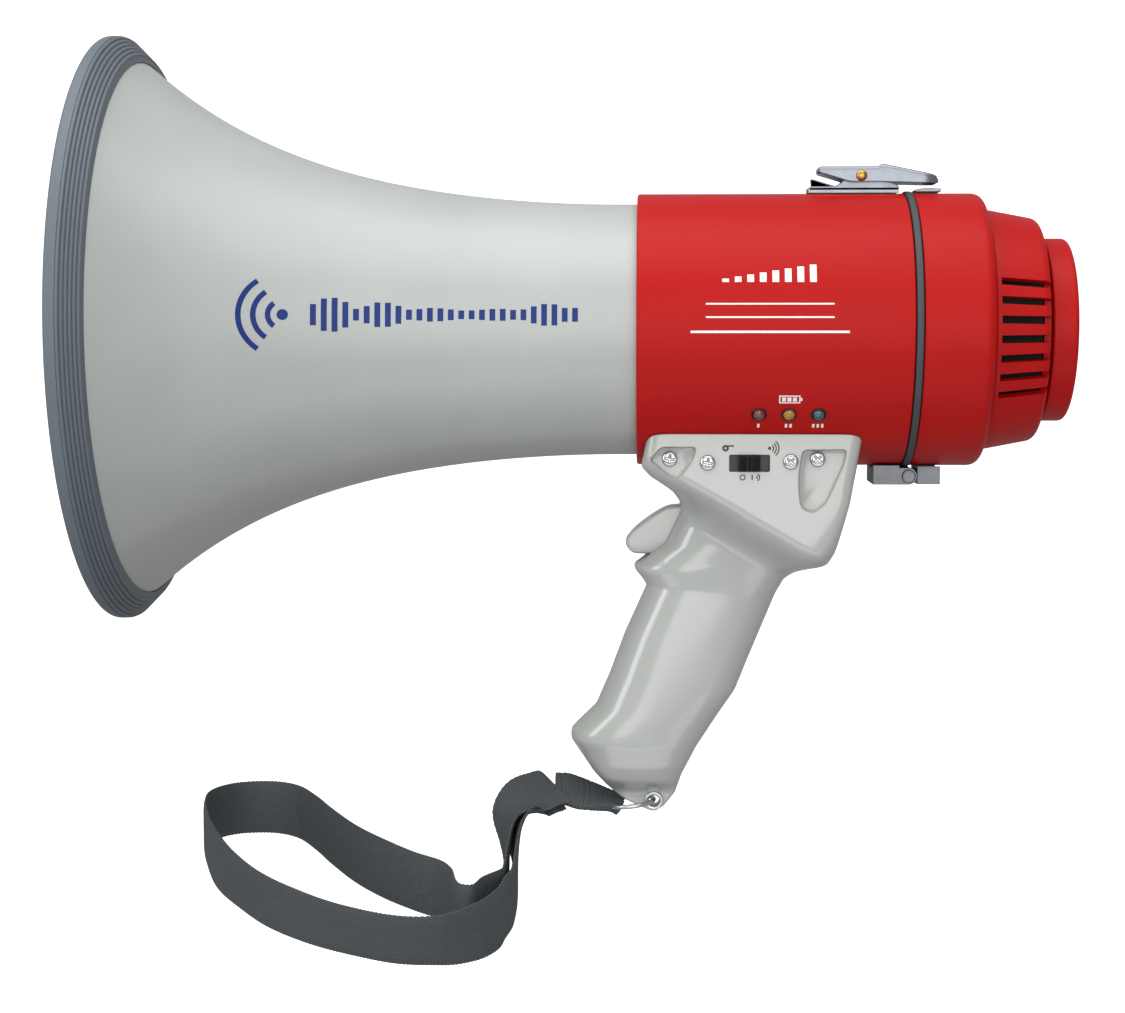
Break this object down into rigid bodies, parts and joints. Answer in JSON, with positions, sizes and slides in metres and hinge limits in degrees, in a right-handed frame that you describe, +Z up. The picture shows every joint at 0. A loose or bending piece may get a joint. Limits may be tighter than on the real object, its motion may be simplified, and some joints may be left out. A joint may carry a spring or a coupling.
{
  "type": "handheld megaphone",
  "caption": "Pistol-grip megaphone with flared horn, rubber rim, hinged rear cover, top latch, squeeze trigger and webbing wrist strap.",
  "frame": {"origin": "middle of the pistol grip, on the symmetry plane, where the hand closes round it", "axes": "+Z up with the horn level and the grip hanging below it; +X along the horn axis from the mouth to the rear cover; +Y to the side away from the switch"},
  "size_m": [0.3291, 0.2046, 0.3023],
  "materials": {
    "horn": "moulded ABS, light warm grey, satin gloss",
    "rim_rubber": "moulded soft rubber, blue-grey, fine ribs",
    "seal_rubber": "dark grey sealing rubber",
    "red_shell": "moulded ABS, signal red, satin gloss",
    "handle_shell": "moulded ABS, light grey, glossy",
    "black_plastic": "moulded, black",
    "diaphragm_film": "pressed phenolic film",
    "ferrite": "ground ferrite in a steel cup",
    "circuit_board": "glass-epoxy board with solder mask",
    "cell_sleeve": "printed sleeve on steel can",
    "led_red": "tinted epoxy, unlit",
    "led_amber": "tinted epoxy, unlit",
    "led_green": "tinted epoxy, unlit",
    "plated_steel": "stamped sheet, nickel plated",
    "rivet_brass": "headed rivet",
    "screw_steel": "nickel-plated cross-head screw",
    "fitting_steel": "drawn wire and turned parts, plated",
    "webbing": "woven polypropylene, dark grey"
  },
  "bodies": {
    "housing": {"horn_bell": "horn", "bell_rim": "rim_rubber", "reflector_cup": "horn", "throat_tube": "horn", "cup_spider": "horn", "driver_frame": "black_plastic", "driver_diaphragm": "diaphragm_film", "driver_magnet": "ferrite", "amplifier_board": "circuit_board", "battery_tray": "black_plastic", "battery_cell_1": "cell_sleeve", "battery_cell_2": "cell_sleeve", "battery_cell_3": "cell_sleeve", "battery_cell_4": "cell_sleeve", "battery_cell_5": "cell_sleeve", "battery_cell_6": "cell_sleeve", "battery_cell_7": "cell_sleeve", "battery_cell_8": "cell_sleeve", "front_housing": "red_shell", "led_low": "led_red", "led_mid": "led_amber", "led_high": "led_green", "seal_ring": "seal_rubber", "hinge_front_leaf": "plated_steel", "hinge_pin": "plated_steel", "latch_bracket": "plated_steel", "latch_rivet": "rivet_brass", "latch_spring": "plated_steel", "handle_near_half": "handle_shell", "handle_far_half": "handle_shell", "switch_screw_1": "screw_steel", "switch_screw_2": "screw_steel", "handle_screw_near_1": "screw_steel", "handle_screw_far_1": "screw_steel", "handle_screw_near_2": "screw_steel", "handle_screw_far_2": "screw_steel", "trigger_pin": "fitting_steel", "trigger_spring": "fitting_steel", "trigger_switch": "black_plastic", "slide_switch_body": "black_plastic", "lanyard_eyelet": "fitting_steel"},
    "rear_cover": {"rear_cover": "red_shell", "vent_drum": "red_shell", "mic_cap": "red_shell", "mic_grille": "black_plastic", "mic_capsule": "fitting_steel", "volume_pot": "fitting_steel", "hinge_rear_leaf": "plated_steel", "latch_catch": "plated_steel"},
    "volume_knob": {"volume_knob": "black_plastic"},
    "latch_lever": {"latch_lever": "plated_steel"},
    "trigger": {"trigger": "handle_shell"},
    "slide_knob": {"slide_switch_knob": "black_plastic"},
    "strap": {"lanyard_ring": "fitting_steel", "strap_sewn_end": "webbing", "wrist_strap": "webbing"}
  },
  "joints": [
    {"name": "cover_hinge", "type": "hinge", "parent": "housing", "child": "rear_cover", "pos_m": [0.075, 0, 0.0587], "axis": [0, 1, 0], "range_deg": [0, 95]},
    {"name": "latch_rock", "type": "hinge", "parent": "housing", "child": "latch_lever", "pos_m": [0.058, 0, 0.1618], "axis": [0, -1, 0], "range_deg": [0, 8], "stiffness_Nm_per_rad": 0.1, "springref_deg": -8.59},
    {"name": "trigger_pull", "type": "hinge", "parent": "housing", "child": "trigger", "pos_m": [0.0015, 0, 0.0445], "axis": [0, -1, 0], "range_deg": [0, 8], "stiffness_Nm_per_rad": 0.15, "springref_deg": -8.59},
    {"name": "slide_switch", "type": "slide", "parent": "housing", "child": "slide_knob", "axis": [1, 0, 0], "range_m": [-0.003, 0.003]},
    {"name": "volume_turn", "type": "hinge", "parent": "rear_cover", "child": "volume_knob", "pos_m": [0.127, 0, 0.094], "axis": [1, 0, 0], "range_deg": [-135, 135]},
    {"name": "strap_swing", "type": "hinge", "parent": "housing", "child": "strap", "pos_m": [-0.0124, 0, -0.0575], "axis": [0, -1, 0], "range_deg": [0, 65]}
  ]
}
